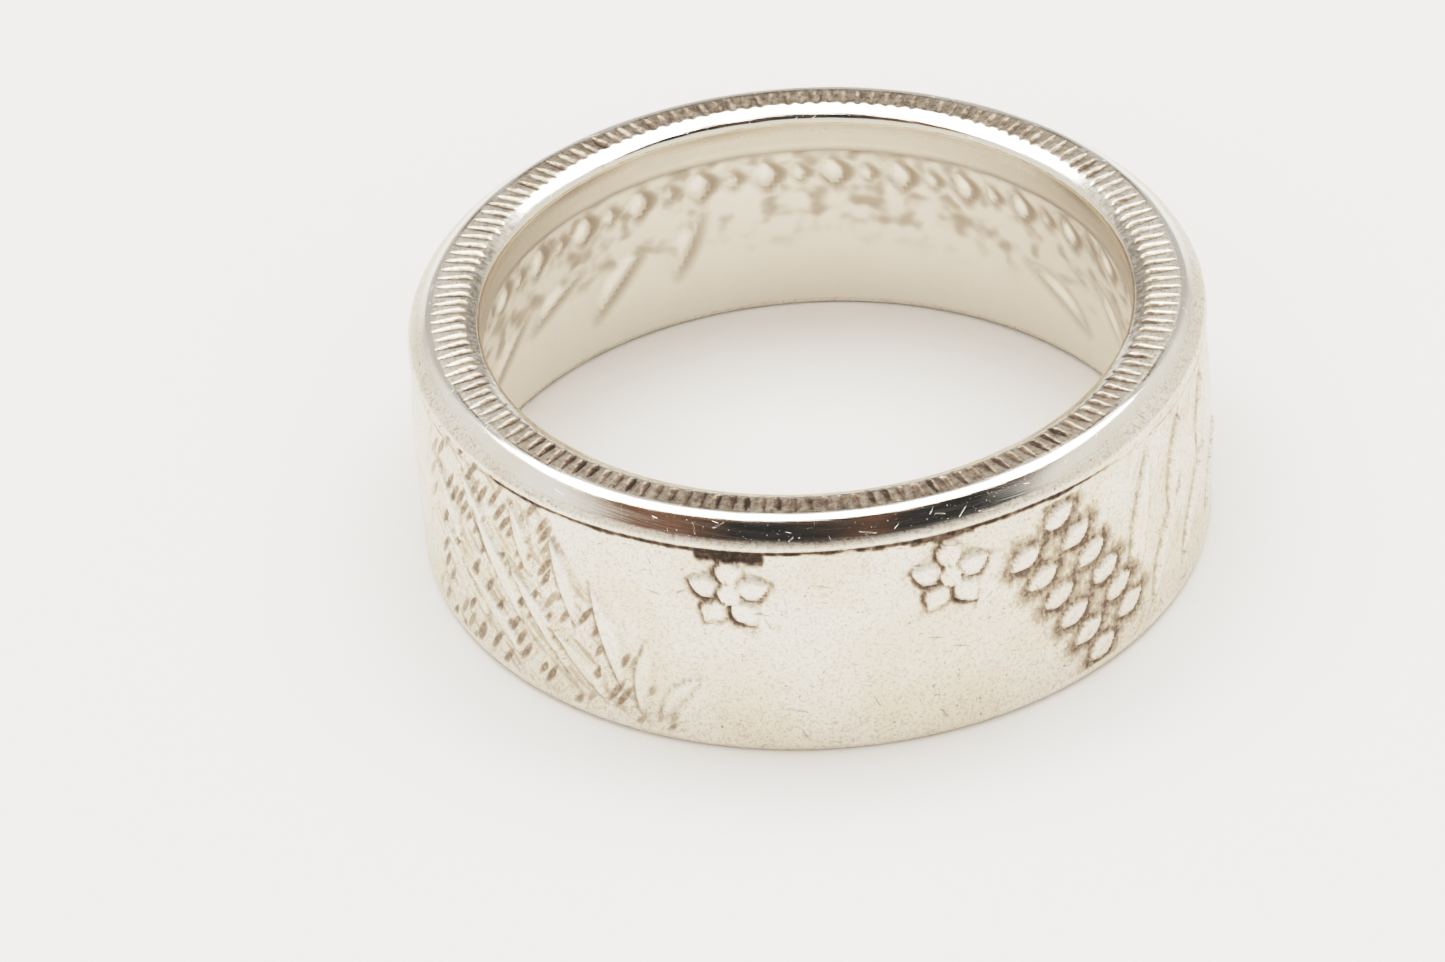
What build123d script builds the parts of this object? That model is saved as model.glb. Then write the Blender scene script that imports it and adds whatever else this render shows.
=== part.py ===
"""Finger ring folded from a struck silver disc, lying on its plain edge.

One piece of metal: the disc's reeded rim is the crown, its two faces are the outer and the inner wall.
The origin is the centre of the foot, on the surface that the ring rests on, and +Z runs along the
finger hole towards the crown. Lengths are millimetres, angles degrees.
"""
from build123d import *
import math
import os

# Main sizes
BORE_D = 20.0  # finger hole at its narrowest, the smooth land under the crown
HEIGHT = 8.3  # foot to crown

# Crown: a reeded flat between an inner bevel and an outer roll, both polished, then a sloping rim band
# that ends in a small lip
BEVEL = 0.53  # radial width of the bevel between the land and the reeded flat
BEVEL_DROP = 0.50  # its height
BEVEL_BULGE = 0.04  # how far it swells over the straight line between its edges
CROWN_FLAT = 0.85  # width of the reeded flat
OUTER_ROLL = 0.58  # radius of the roll outside the reeded flat
OUTER_ROLL_TURN = 50  # how far that roll turns down from level
RIM_BAND = 0.43  # radial width of the sloping band
RIM_BAND_SLOPE = 41  # its angle below level
LIP_ROUND = 0.13  # radius of the lip at the band's lower edge
LIP_STEP = 0.11  # how far the lip stands out from the wall below it
LIP_STEP_DROP = 0.19  # height of the step under the lip

# Outer wall, a very shallow barrel of three straight runs
SHOULDER_OUT = 0.12  # how far the shoulder stands out from the wall's top
SHOULDER_DROP = 1.40  # height of the run between them
BELLY_OUT = 0.08  # how far the belly stands out from the shoulder
BELLY_DROP = 2.40  # height of the run between them
FOOT_TUCK = 0.05  # how far the wall draws in again from the belly to the foot

# Foot and inner wall
FOOT_WALL = 1.25  # wall at the foot
FOOT_ROUND = 0.38  # rounding of both edges of the foot
LAND = 0.96  # height of the cylindrical land inside, under the crown
LAND_STEP = 0.13  # step from the land out to the inner wall
WAIST_OUT = 0.68  # how far the inner wall widens over its upper run
WAIST_DROP = 3.20  # height of that upper run

# Reeds
REED_COUNT = 150
REED_WIDE = 0.62  # notch width as a share of the pitch
REED_DEEP = 0.15
REED_SKEW = 7  # turn of each notch from straight outwards
REED_END = 0.03  # plain metal left at each end of a notch
REED_LIFT = 0.03  # how far the widest part of a notch's cutter lies over the flat

# Relief
RELIEF = 0.14  # height of the outer relief
INNER_RELIEF = 0.10  # height of the relief inside
RELIEF_ROOT = 0.16  # how deep each raised form reaches into the wall
RELIEF_SINK = 0.02  # how deep its sharp edge lies in the wall
RELIEF_MARGIN = 0.12  # plain metal between the relief and the lip, the land or the foot's rounding
CREST = 0.40  # flat crest of a raised form as a share of its width

# Profile stations, worked out from the sizes above
BORE_R = BORE_D / 2
FLAT_IN_R = BORE_R + BEVEL
FLAT_OUT_R = FLAT_IN_R + CROWN_FLAT
TURN = math.radians(OUTER_ROLL_TURN)
SLOPE = math.radians(RIM_BAND_SLOPE)
BAND_TOP_R = FLAT_OUT_R + OUTER_ROLL * math.sin(TURN)
BAND_TOP_Z = HEIGHT - OUTER_ROLL * (1 - math.cos(TURN))
LIP_START_R = BAND_TOP_R + RIM_BAND
LIP_START_Z = BAND_TOP_Z - RIM_BAND * math.tan(SLOPE)
LIP_R = LIP_START_R + LIP_ROUND * (1 - math.sin(SLOPE))
LIP_Z = LIP_START_Z - LIP_ROUND * math.cos(SLOPE)
WALL_TOP_R = LIP_R - LIP_STEP
WALL_TOP_Z = LIP_Z - LIP_STEP_DROP
SHOULDER_R = WALL_TOP_R + SHOULDER_OUT
SHOULDER_Z = WALL_TOP_Z - SHOULDER_DROP
BELLY_R = SHOULDER_R + BELLY_OUT
BELLY_Z = SHOULDER_Z - BELLY_DROP
FOOT_OUT_R = BELLY_R - FOOT_TUCK
FOOT_IN_R = FOOT_OUT_R - FOOT_WALL
LAND_TOP_Z = HEIGHT - BEVEL_DROP
LAND_LOW_Z = LAND_TOP_Z - LAND
INNER_TOP_R = BORE_R + LAND_STEP
INNER_TOP_Z = LAND_LOW_Z - LAND_STEP
WAIST_R = INNER_TOP_R + WAIST_OUT
WAIST_Z = INNER_TOP_Z - WAIST_DROP

# The straight runs of the two walls, as (radius, height) from the foot up
OUTER_RUNS = [
    (FOOT_OUT_R, FOOT_ROUND), (BELLY_R, BELLY_Z), (SHOULDER_R, SHOULDER_Z), (WALL_TOP_R, WALL_TOP_Z),
]
INNER_RUNS = [(FOOT_IN_R, FOOT_ROUND), (WAIST_R, WAIST_Z), (INNER_TOP_R, INNER_TOP_Z)]

# Outlines of the raised forms and of a reed's notch: how full they are along their length
LEAF = [(0.22, 0.80), (0.50, 1.00), (0.78, 0.80)]  # along, full
GRAIN = [(0.50, 1.00)]
NOTCH = [(0.18, 0.85), (0.45, 1.00)]

# Leaves. angle is where a leaf's middle lies round the ring, up its middle's height as a share of the
# field, lean its turn from upright towards larger angles, and long, wide and bend its size and bow as
# shares of the field's height.
GRASS = [  # angle, up, lean, long, wide, bend
    (-155, 0.66, -38, 0.46, 0.090, 0.030),
    (-151, 0.36, -46, 0.54, 0.095, 0.035),
    (-147, 0.74, -28, 0.44, 0.090, 0.025),
    (-144, 0.26, -50, 0.52, 0.095, 0.035),
    (-142, 0.54, -34, 0.56, 0.105, 0.030),
    (-137, 0.78, -18, 0.38, 0.085, 0.020),
    (-134, 0.38, -36, 0.58, 0.105, 0.030),
    (-129, 0.66, -16, 0.46, 0.095, 0.020),
    (-127, 0.22, -42, 0.42, 0.090, 0.025),
    (-122, 0.44, -14, 0.56, 0.100, 0.020),
    (-116, 0.26, 8, 0.44, 0.090, -0.015),
    (-111, 0.18, 36, 0.34, 0.080, -0.020),
    (-38, 0.54, 12, 0.84, 0.115, -0.030),
    (-31, 0.34, 28, 0.60, 0.100, -0.035),
    (-28, 0.70, 18, 0.50, 0.100, -0.025),
    (-21, 0.36, 34, 0.60, 0.095, -0.035),
    (-17, 0.74, 22, 0.40, 0.090, -0.020),
    (-10, 0.30, 44, 0.50, 0.085, -0.030),
]
TUFTS = [16, 52, 88, 124, 160]  # angles of the five tufts round the rest of the ring
TUFT_LEAVES = [  # aside in degrees from the tuft's middle, then up, lean, long, wide, bend
    (-10, 0.30, -46, 0.46, 0.090, 0.025),
    (-5.5, 0.44, -24, 0.60, 0.100, 0.020),
    (0, 0.54, 0, 0.76, 0.110, 0.000),
    (5.5, 0.44, 24, 0.60, 0.100, -0.020),
    (10, 0.30, 46, 0.46, 0.090, -0.025),
]

# Rosettes of petals round a bead, set near the lip
ROSETTES = [-103, -72, 34, 70, 106, 142]  # angles
ROSETTE_UP = 0.80  # height of their middles as a share of the field
PETAL_COUNT = 5
PETAL_AT = 0.110  # shares of the field's height
PETAL_LONG = 0.160
PETAL_WIDE = 0.125
ROSETTE_BEAD = 0.105

# Two slanted rows of grains
GRAIN_ROWS = [  # angle and up of a row's top grain
    (-60.5, 0.76),
    (-54.5, 0.90),
]
GRAINS_A_ROW = 6
GRAIN_STEP_ANGLE = 2.6  # degrees from one grain to the next
GRAIN_STEP_DOWN = 0.138
GRAIN_LEAN = 62
GRAIN_LONG = 0.180
GRAIN_WIDE = 0.115

# Band of lozenges and beads inside, under the land, and a few leaves below it
LOZENGE_COUNT = 30
LOZENGE_UP = 0.86
LOZENGE_LONG = 0.190
LOZENGE_WIDE = 0.150
INNER_BEAD = 0.090
INNER_LEAVES = [  # angle, up, lean, long, wide, bend
    (151, 0.38, -50, 0.46, 0.115, 0.030),
    (137, 0.48, -62, 0.40, 0.105, 0.030),
    (123, 0.38, -40, 0.48, 0.120, 0.030),
    (110, 0.46, -20, 0.40, 0.105, 0.020),
    (42, 0.32, 56, 0.48, 0.105, -0.030),
    (28, 0.42, 30, 0.42, 0.095, -0.020),
]


def at(r, z):
    """A point of the section, which is drawn in the plane of X and Z."""
    return Vector(r, 0, z)


def on_runs(runs, z):
    """Radius of a wall's straight runs at a height."""
    for (low_r, low_z), (high_r, high_z) in zip(runs, runs[1:]):
        if z <= high_z:
            break
    return low_r + (high_r - low_r) * (z - low_z) / (high_z - low_z)


def lines(stations):
    """Straight edges through (radius, height) stations."""
    points = [at(r, z) for r, z in stations]
    return [Edge.make_line(a, b) for a, b in zip(points, points[1:])]


def ring_section():
    """Edges of the section: the land, over the crown, down the outside, the foot and up the inside."""
    bevel_swell = BEVEL_BULGE / math.hypot(BEVEL, BEVEL_DROP)
    bevel_mid = at(
        BORE_R + BEVEL / 2 - bevel_swell * BEVEL_DROP,
        LAND_TOP_Z + BEVEL_DROP / 2 + bevel_swell * BEVEL,
    )
    half_turn = TURN / 2
    roll_mid = at(
        FLAT_OUT_R + OUTER_ROLL * math.sin(half_turn),
        HEIGHT - OUTER_ROLL * (1 - math.cos(half_turn)),
    )
    lip_turn = (math.pi / 2 - SLOPE) / 2
    lip_mid = at(
        LIP_R - LIP_ROUND * (1 - math.cos(lip_turn)),
        LIP_Z + LIP_ROUND * math.sin(lip_turn),
    )
    foot_corner = FOOT_ROUND * (1 - math.sqrt(0.5))
    return [
        *lines([(INNER_TOP_R, INNER_TOP_Z), (BORE_R, LAND_LOW_Z), (BORE_R, LAND_TOP_Z)]),
        Edge.make_three_point_arc(at(BORE_R, LAND_TOP_Z), bevel_mid, at(FLAT_IN_R, HEIGHT)),
        *lines([(FLAT_IN_R, HEIGHT), (FLAT_OUT_R, HEIGHT)]),
        Edge.make_three_point_arc(at(FLAT_OUT_R, HEIGHT), roll_mid, at(BAND_TOP_R, BAND_TOP_Z)),
        *lines([(BAND_TOP_R, BAND_TOP_Z), (LIP_START_R, LIP_START_Z)]),
        Edge.make_three_point_arc(at(LIP_START_R, LIP_START_Z), lip_mid, at(LIP_R, LIP_Z)),
        *lines([(LIP_R, LIP_Z), *reversed(OUTER_RUNS)]),
        Edge.make_three_point_arc(
            at(FOOT_OUT_R, FOOT_ROUND),
            at(FOOT_OUT_R - foot_corner, foot_corner),
            at(FOOT_OUT_R - FOOT_ROUND, 0),
        ),
        *lines([(FOOT_OUT_R - FOOT_ROUND, 0), (FOOT_IN_R + FOOT_ROUND, 0)]),
        Edge.make_three_point_arc(
            at(FOOT_IN_R + FOOT_ROUND, 0),
            at(FOOT_IN_R + foot_corner, foot_corner),
            at(FOOT_IN_R, FOOT_ROUND),
        ),
        *lines(INNER_RUNS),
    ]


def turned(edges):
    """The solid of revolution of a closed section about the ring's axis."""
    return Solid.revolve(Face(Wire(edges)), 360, Axis.Z)


def keeled(place, outline, long, wide, bend, above, below):
    """A closed form of triangles: a blunt crest above, a keel below and a sharp edge all round.

    place turns the form's own coordinates, across, along and height over the surface, into space.
    """
    first = place(0, -long / 2, 0)
    last = place(0, long / 2, 0)
    rings = []
    for along, full in outline:
        y = (along - 0.5) * long
        bow = bend * 4 * along * (1 - along)
        half = full * wide / 2
        rings.append([
            place(bow - half, y, 0),
            place(bow - half * CREST, y, above * full),
            place(bow + half * CREST, y, above * full),
            place(bow + half, y, 0),
            place(bow, y, -below * full),
        ])
    sides = len(rings[0])
    corners = [(k, (k + 1) % sides) for k in range(sides)]
    triangles = []
    for a, b in corners:
        triangles.append((first, rings[0][a], rings[0][b]))
        triangles.append((last, rings[-1][b], rings[-1][a]))
        for low, high in zip(rings, rings[1:]):
            triangles.append((low[a], high[a], high[b]))
            triangles.append((low[a], high[b], low[b]))
    faces = [Face(Wire.make_polygon(corner, close=True)) for corner in triangles]
    return Solid(Shell(faces))


def reed_notches():
    """The cutters of the reeds, each with its keel down in the crown's flat and pointed outwards."""
    inner = FLAT_IN_R + REED_END
    outer = FLAT_OUT_R - REED_END
    middle = (inner + outer) / 2
    wide = 2 * math.pi * middle / REED_COUNT * REED_WIDE

    turn = math.radians(REED_SKEW)

    def place(across, along, height):
        outwards = along * math.cos(turn) - across * math.sin(turn)
        aside = across * math.cos(turn) + along * math.sin(turn)
        return Vector(middle + outwards, aside, HEIGHT + REED_LIFT + height)

    notch = keeled(place, NOTCH, outer - inner, wide, 0, REED_LIFT, REED_DEEP + REED_LIFT)
    return [notch.rotate(Axis.Z, 360 / REED_COUNT * i) for i in range(REED_COUNT)]


def field(runs):
    """The foot's height and the whole height of the part of a wall that may carry relief."""
    low = runs[0][1] + RELIEF_MARGIN
    return low, runs[-1][1] - RELIEF_MARGIN - low


def raised(runs, side, height, row, outline=LEAF):
    """One raised form on a wall. side is 1 outside and -1 inside."""
    angle, up, lean, long, wide, bend = row
    low, size = field(runs)
    turn = math.radians(lean)
    middle_z = low + up * size
    middle_r = on_runs(runs, middle_z)

    def place(across, along, over):
        aside = across * math.cos(turn) + along * math.sin(turn)
        z = middle_z + along * math.cos(turn) - across * math.sin(turn)
        a = math.radians(angle) + aside / middle_r
        r = on_runs(runs, z) + side * (over - RELIEF_SINK)
        return Vector(r * math.cos(a), r * math.sin(a), z)

    return keeled(
        place, outline, long * size, wide * size, bend * size, height + RELIEF_SINK, RELIEF_ROOT
    )


def rosette(angle):
    """Rows of the table of forms for petals round a bead."""
    size = field(OUTER_RUNS)[1]
    degrees_a_share = math.degrees(size / BELLY_R)
    forms = [(angle, ROSETTE_UP, 0, ROSETTE_BEAD, ROSETTE_BEAD, 0)]
    for i in range(PETAL_COUNT):
        lean = 360 / PETAL_COUNT * i
        t = math.radians(lean)
        forms.append((
            angle + PETAL_AT * math.sin(t) * degrees_a_share, ROSETTE_UP + PETAL_AT * math.cos(t),
            lean, PETAL_LONG, PETAL_WIDE, 0,
        ))
    return forms


def outer_forms():
    """Every raised form of the outer wall."""
    leaves = list(GRASS)
    for middle in TUFTS:
        leaves += [(middle + aside, *rest) for aside, *rest in TUFT_LEAVES]
    grains = [form for angle in ROSETTES for form in rosette(angle)]
    for angle, up in GRAIN_ROWS:
        for i in range(GRAINS_A_ROW):
            grains.append((
                angle + GRAIN_STEP_ANGLE * i, up - GRAIN_STEP_DOWN * i,
                GRAIN_LEAN, GRAIN_LONG, GRAIN_WIDE, 0,
            ))
    return (
        [raised(OUTER_RUNS, 1, RELIEF, row) for row in leaves]
        + [raised(OUTER_RUNS, 1, RELIEF, row, GRAIN) for row in grains]
    )


def inner_forms():
    """Every raised form of the inner wall."""
    step = 360 / LOZENGE_COUNT
    grains = []
    for i in range(LOZENGE_COUNT):
        grains.append((step * i, LOZENGE_UP, 0, LOZENGE_LONG, LOZENGE_WIDE, 0))
        grains.append((step * (i + 0.5), LOZENGE_UP, 0, INNER_BEAD, INNER_BEAD, 0))
    return (
        [raised(INNER_RUNS, -1, INNER_RELIEF, row) for row in INNER_LEAVES]
        + [raised(INNER_RUNS, -1, INNER_RELIEF, row, GRAIN) for row in grains]
    )


def ring_band():
    """The whole ring: turned section, reeds cut in the crown, relief raised on both walls."""
    return turned(ring_section()).cut(*reed_notches()).fuse(*outer_forms(), *inner_forms())


os.makedirs("parts", exist_ok=True)
export_step(ring_band(), "parts/ring_band.step")
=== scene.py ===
import math

import bpy
import numpy as np
from mathutils import Matrix, Vector

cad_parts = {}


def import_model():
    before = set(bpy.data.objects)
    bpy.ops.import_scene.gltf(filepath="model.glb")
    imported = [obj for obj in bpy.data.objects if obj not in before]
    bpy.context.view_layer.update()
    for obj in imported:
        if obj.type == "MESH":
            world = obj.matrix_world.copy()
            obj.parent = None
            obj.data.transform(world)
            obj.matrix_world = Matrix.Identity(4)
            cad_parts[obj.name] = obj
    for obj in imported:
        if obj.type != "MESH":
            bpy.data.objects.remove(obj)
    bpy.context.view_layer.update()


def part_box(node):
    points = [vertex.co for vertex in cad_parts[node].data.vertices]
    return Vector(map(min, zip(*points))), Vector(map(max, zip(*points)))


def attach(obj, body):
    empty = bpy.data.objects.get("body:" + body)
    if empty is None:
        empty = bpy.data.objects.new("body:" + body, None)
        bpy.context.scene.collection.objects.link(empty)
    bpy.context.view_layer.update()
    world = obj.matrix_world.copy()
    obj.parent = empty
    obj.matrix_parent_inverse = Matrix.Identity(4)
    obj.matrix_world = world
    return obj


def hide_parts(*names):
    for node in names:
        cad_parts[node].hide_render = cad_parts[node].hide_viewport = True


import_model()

MM = 0.001
rng = np.random.default_rng(150)

# Profile of the ring, the solid's stations with the roundings of its edges
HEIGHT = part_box("ring_band")[1].z / MM
BORE_R = 10.0
BEVEL_RISE = 29  # angle above level of the bevel's upper part, which rounds over to the land
BEVEL_LOW_ROUND = 0.32
BEVEL_TOP_ROUND = 0.45
BEVEL_OUT_R = 10.64  # where the bevel's upper rounding meets the flat
FLAT_OUT_R = 11.32
BAND_TOP = (11.727, HEIGHT - 0.140)  # where the roll meets the sloping band
RIM_BAND = 0.454
RIM_BAND_SLOPE = 40.7
LIP_ROUND = 0.28
LIP_STEP = 0.08
LIP_STEP_DROP = 0.33
LAND_TOP_Z = HEIGHT - 0.48
LAND_LOW = (BORE_R, 6.84)
INNER_TOP = (10.13, 6.71)
WAIST = (10.81, 3.51)
FOOT_ROUND = 0.38
FOOT_IN = (11.089, FOOT_ROUND)
FOOT_OUT = (12.339, FOOT_ROUND)
BELLY = (12.389, 3.631)
SHOULDER = (12.309, 6.031)

ROLL_TURN = 2 * math.atan((HEIGHT - BAND_TOP[1]) / (BAND_TOP[0] - FLAT_OUT_R))
ROLL = (BAND_TOP[0] - FLAT_OUT_R) / math.sin(ROLL_TURN)
SLOPE = math.radians(RIM_BAND_SLOPE)
LIP_START = (BAND_TOP[0] + RIM_BAND, BAND_TOP[1] - RIM_BAND * math.tan(SLOPE))
LIP = (LIP_START[0] + LIP_ROUND * (1 - math.sin(SLOPE)), LIP_START[1] - LIP_ROUND * math.cos(SLOPE))
WALL_TOP = (LIP[0] - LIP_STEP, LIP[1] - LIP_STEP_DROP)

# Reeds: notches in the flat, round at the inner end and pointed at the outer
REED_COUNT = 150
REED_WIDE = 0.72
REED_DEEP = 0.040
REED_SKEW = 7
REED_IN_R = 10.56
REED_OUT_R = 11.29
REED_FULLEST = 0.22  # share of a notch's length at which it is widest
REED_MORE_IN, REED_MORE_OUT = 0.18, 0.22  # how much farther the notches and the flat run at the sides
ROLL_PART = 20  # angle of the roll's part that the notches can run into
WORN_REED_AT, WORN_REED_WIDE = 125.5, 1.25  # one reed torn open by a nick
REED_WIDTHS = (0.84, 1.06)  # ranges of the notches' width, depth and patina, as shares
REED_DEPTHS = (0.75, 1.10)
REED_STAINS = (0.75, 1.10)
REED_STRAYS = 0.05  # most that a notch is off its place, as a share of its length or of the pitch
REED_TAPER = 1.7  # power of the outer point's taper
REED_LEAST = 0.02  # half width in degrees at which a notch ends
REED_FLANK = 1.5  # steepness of a notch's flanks
REED_DARK, REED_DARK_ASIDE = 0.72, 0.14  # patina in a notch, and painted shade that makes one flank darker than the other
REED_DARK_FRONT = 0.20  # painted shade: how much darker the notches are at the front, and paler at the back
REED_DARK_SPREAD = 1.6
REED_SIDE_PALER = 0.25  # painted highlight: how much paler the notches are at the ring's sides

# Flat between the reeds
FLAT_BEFORE = 0.10  # how far inside the bevel's edge its patina starts
FLAT_FADE_IN, FLAT_FADE_OUT = 0.08, 0.04
# patina on the flat, made paler at the ring's sides as a painted highlight
FLAT_DARK, FLAT_SIDE_PALER = 0.52, 0.40
FLAT_LINE, FLAT_LINE_AT, FLAT_LINE_WIDE = 0.5, 0.01, 0.03  # dark line where the roll starts
FLAT_MATT = 0.6
NOTCH_MATT, NOTCH_MATT_DEEP = 0.9, 0.03

# Relief
WALL_FIELD = (0.50, 6.811)  # foot and height of the part of the outer wall that carries relief
INNER_FIELD = (0.50, 6.09)
RELIEF = 0.10
RELIEF_EDGE = 0.12  # width of the slope at a raised form's edge
INNER_RELIEF = 0.08
INNER_EDGE = 0.34
MOAT = 0.030  # depth of the hollow round a form
MOAT_WIDE = 0.20
VEIN = 0.030  # depth of a form's middle line
VEIN_WIDE = 0.07
SHADED_SIDE = (-0.8, -0.6)  # painted shade: the patina round a form is darker on the side that lies this way, aside and up
# how much darker that painted shade makes the patina
SHADED_MORE = 0.45
GLOW, GLOW_WIDE = 0.36, 0.55  # strength and width of the faint patina farther out
WALL_INSET = 0.010  # keeps the relief inside the solid's box
VEIN_DARK = 9  # patina in a middle line for each millimetre of its depth
OVERLAP_DIP, OVERLAP_WIDE = 0.5, 0.06  # how a form parts the one that it lies on
SIDE_TURN = 0.7  # share of an edge's slope over which the shading changes sides
CLEAN_FROM = 0.8  # share of an edge's slope above which a form has no patina
NO_FORM_NEAR = 9.0

GRASS = [  # angle, up, lean, long, wide, bend
    (-155, 0.66, -38, 0.46, 0.090, 0.030),
    (-151, 0.36, -46, 0.54, 0.095, 0.035),
    (-147, 0.74, -28, 0.44, 0.090, 0.025),
    (-144, 0.26, -50, 0.52, 0.095, 0.035),
    (-142, 0.54, -34, 0.56, 0.105, 0.030),
    (-137, 0.78, -18, 0.38, 0.085, 0.020),
    (-134, 0.38, -36, 0.58, 0.105, 0.030),
    (-129, 0.66, -16, 0.46, 0.095, 0.020),
    (-127, 0.22, -42, 0.42, 0.090, 0.025),
    (-122, 0.44, -14, 0.56, 0.100, 0.020),
    (-116, 0.26, 8, 0.44, 0.090, -0.015),
    (-111, 0.18, 36, 0.34, 0.080, -0.020),
    (-38, 0.54, 12, 0.84, 0.115, -0.030),
    (-31, 0.34, 28, 0.60, 0.100, -0.035),
    (-28, 0.70, 18, 0.50, 0.100, -0.025),
    (-21, 0.36, 34, 0.60, 0.095, -0.035),
    (-17, 0.74, 22, 0.40, 0.090, -0.020),
    (-10, 0.30, 44, 0.50, 0.085, -0.030),
]
TUFTS = [16, 52, 88, 124, 160]
TUFT_LEAVES = [  # aside, up, lean, long, wide, bend
    (-10, 0.30, -46, 0.46, 0.090, 0.025),
    (-5.5, 0.44, -24, 0.60, 0.100, 0.020),
    (0, 0.54, 0, 0.76, 0.110, 0.000),
    (5.5, 0.44, 24, 0.60, 0.100, -0.020),
    (10, 0.30, 46, 0.46, 0.090, -0.025),
]
ROSETTES = [-103, -72, 34, 70, 106, 142]
ROSETTE_UP = 0.80
PETAL_COUNT = 5
PETAL_AT = 0.110
PETAL_LONG = 0.160
PETAL_WIDE = 0.125
ROSETTE_BEAD = 0.105
GRAIN_ROWS = [  # angle and up of a row's top grain
    (-60.5, 0.76),
    (-54.5, 0.90),
]
GRAINS_A_ROW = 6
GRAIN_STEP_ANGLE = 2.6
GRAIN_STEP_DOWN = 0.138
GRAIN_LEAN = 62
GRAIN_LONG = 0.180
GRAIN_WIDE = 0.115
LOZENGE_COUNT = 30
LOZENGE_UP = 0.86
LOZENGE_LONG = 0.190
LOZENGE_WIDE = 0.150
INNER_BEAD = 0.090
INNER_LEAVES = [  # angle, up, lean, long, wide, bend
    (151, 0.38, -50, 0.46, 0.115, 0.030),
    (137, 0.48, -62, 0.40, 0.105, 0.030),
    (123, 0.38, -40, 0.48, 0.120, 0.030),
    (110, 0.46, -20, 0.40, 0.105, 0.020),
    (42, 0.32, 56, 0.48, 0.105, -0.030),
    (28, 0.42, 30, 0.42, 0.095, -0.020),
]

# Fullness of an outline: the power of the half sine that its width follows
LEAF_FULL = 0.8
GRAIN_FULL = 0.8
BEAD_FULL = 0.5

# Patina round each kind of form: darkness and width
GRASS_DARK = (0.30, 0.18)
TUFT_DARK = (0.40, 0.22)
PETAL_DARK = (0.56, 0.20)
BEAD_DARK = (0.48, 0.14)
GRAIN_DARK = (0.58, 0.55)
INNER_LEAF_DARK = (0.27, 0.50)
LOZENGE_DARK = (0.36, 0.50)
INNER_BEAD_DARK = (0.34, 0.50)

# Stained hollows under the lip: from, to, lower edge, strength
STAINS = [
    (-108.3, -97.4, 6.93, 1.0),
    (-78.0, -67.5, 7.12, 0.8),
]
LIP_DIPS = [  # where the lip sags: angle, reach, drop
    (-47, 9, 0.09),
    (-136, 13, 0.05),
    (-84, 6, -0.02),
    (60, 20, 0.05),
    (170, 14, 0.04),
]
SAG_HIGH = 0.30
SAG_FROM_R, SAG_FADE = 11.6, 0.4
LIP_FILL = 0.05  # metal that fills the step under the lip away from the front
LIP_FILL_FROM, LIP_FILL_FADE, LIP_FILL_END = 6.8, 0.5, 0.1

# Patina and painted shade in the step under the lip
LIP_FRONT = (-95, 44, 12)  # its front part: middle, half and fade
RAGS_OF_EDGE = [(0.10, 130), (0.06, 410)]  # height and number of the steps in the patina's lower edge
STEP_FROM, STAIN_FADE = 0.03, 0.14
STEP_LEAST, STEP_MORE, STEP_PLACES = 0.60, 0.38, 330
LIP_CLEAR, LIP_FADE = 0.02, 0.03
CREASE_DARK, CREASE_WIDE = 0.8, 0.06
CREASE_LEAST, CREASE_MORE, CREASE_PLACES = 0.3, 0.7, 60
STAIN_DARK, STAIN_SIDE, STAIN_DEEP = 0.86, 0.9, 0.05

# Busy ground: the left patch with its slanting edge, the right patch, the tufts' patches and the foot
BUSY_LEFT_FROM, BUSY_LEFT_FADE = -166, 10
BUSY_EDGE_AT, BUSY_EDGE_UP, BUSY_EDGE_SLANT, BUSY_EDGE_FADE = -131, 7.4, 3.4, 3
BUSY_RIGHT = 0.3
BUSY_RIGHT_FROM, BUSY_RIGHT_FADE = -43, 3
BUSY_RIGHT_TO, BUSY_RIGHT_END = -10, 8
BUSY_TUFTS, BUSY_TUFT_WIDE = 0.5, 11
BUSY_TUFT_TOP, BUSY_TUFT_FADE = 5.6, 1.5
BUSY_FOOT, BUSY_FOOT_FADE = 0.35, 0.3
BUSY_CLEAR = 2  # how soon a raised form is free of it
INNER_BUSY_FROM, INNER_BUSY_FADE = 1.8, 2.2
INNER_BUSY_LESS, INNER_BUSY_CLEAR = 0.7, 1.5

# Polish and darkening of the plain zones, with painted shade on the bevel at the ring's sides
# painted shade on the bevel at the ring's left and right
BEVEL_SIDE_SHADE = 0.34
LAND_CREASE, LAND_CREASE_DOWN, LAND_CREASE_WIDE = 0.55, 0.02, 0.05
LAND_CREASE_LEAST, LAND_CREASE_MORE, LAND_CREASE_PLACES = 0.4, 0.6, 24
LAND_DARK, LAND_FADE, LAND_POLISH = 0.30, 0.1, 0.35
SATIN_FROM_R, SATIN_FRONT_MORE, SATIN_FADE = 11.80, 0.28, 0.10
SATIN_FRONT = (-95, 36, 26)  # where the satin band starts farther out: middle, half and fade
SATIN_MATT = 0.88
WALL_POLISH, WALL_POLISH_RAISED = 0.05, 0.25
INNER_POLISH, INNER_POLISH_RAISED = 0.15, 0.15
FOOT_POLISH = 0.25
RELIEF_END = 0.05  # fade of the relief below the step or the land

# Gentle hollows of hand-worked metal
SWELL_DEEP = 0.012
SWELL_WAVES = 9
SWELL_TURNS, SWELL_RISE = 40, 1.5  # most waves round the ring, and most slant
SWELL_SIZES = (0.4, 1.0)
WALL_SWELL = 1.6  # how much deeper they are on the walls

# Rows of the profile's lines and curves, zone by zone
BEVEL_ROWS = (3, 4)
REED_ROWS = (3, 4, 8, 3)
RIM_ROWS = (5, 4, 5)
WALL_ROWS = (4, 60)
FOOT_ROWS = (4, 1, 4)
INSIDE_ROWS = (34, 2)

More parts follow.
